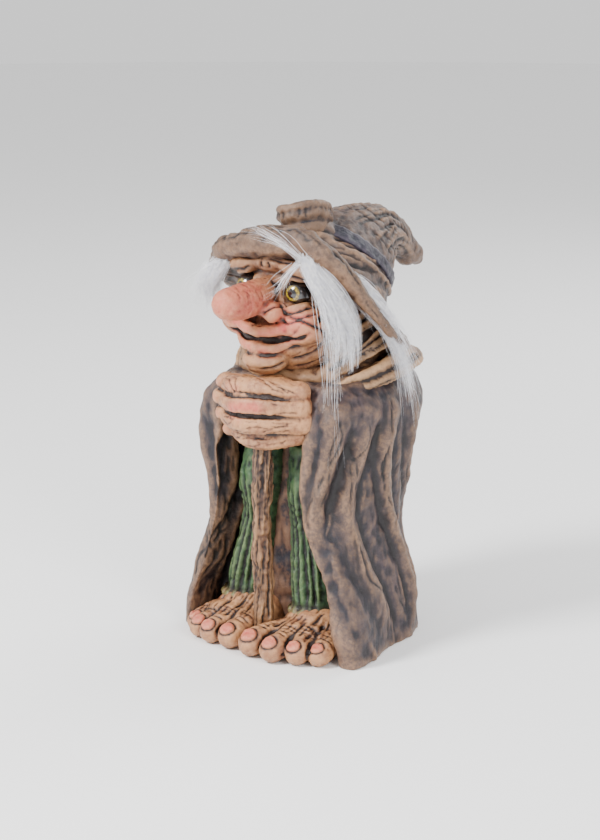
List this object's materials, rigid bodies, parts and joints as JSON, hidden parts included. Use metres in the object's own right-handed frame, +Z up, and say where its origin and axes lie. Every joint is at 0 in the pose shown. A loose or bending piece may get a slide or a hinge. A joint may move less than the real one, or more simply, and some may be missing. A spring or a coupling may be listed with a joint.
{
  "type": "folk troll figurine",
  "caption": "Standing folk troll figure in a floppy pointed hat and a long draped cloak, hands clasped over a walking stick, with a long nose, bare feet, glass eyes and tufts of white fur hair",
  "frame": {"origin": "centre of the base plug's underside, on the surface that the figure stands on", "axes": "+Z up, the figure faces -Y, its left side is +X"},
  "size_m": [0.0926, 0.1237, 0.1706],
  "materials": {
    "cloak_cast": "matte painted",
    "skin_cast": "matte painted",
    "hat_cast": "matte painted",
    "band_cast": "matte painted",
    "trouser_cast": "matte painted",
    "stick_cast": "matte painted",
    "collar_cast": "matte painted",
    "plug": "matte",
    "eye_black": "gloss",
    "eye_gold": "gloss",
    "eye_glass": "clear",
    "fur": "soft fur"
  },
  "bodies": {
    "root": {"cloak": "cloak_cast", "base_plug": "plug", "collar": "collar_cast", "head": "skin_cast", "hat_brim": "hat_cast", "hat_crown": "hat_cast", "hat_band": "band_cast", "hat_pleat": "hat_cast", "left_eye_cup": "eye_black", "left_eye_ring": "eye_gold", "left_eye_dome": "eye_glass", "right_eye_cup": "eye_black", "right_eye_ring": "eye_gold", "right_eye_dome": "eye_glass", "left_hair": "fur", "left_hair_lock": "fur", "right_hair": "fur", "left_hand": "skin_cast", "right_hand": "skin_cast", "walking_stick": "stick_cast", "left_trouser_leg": "trouser_cast", "right_trouser_leg": "trouser_cast", "left_foot": "skin_cast", "right_foot": "skin_cast"}
  },
  "joints": []
}
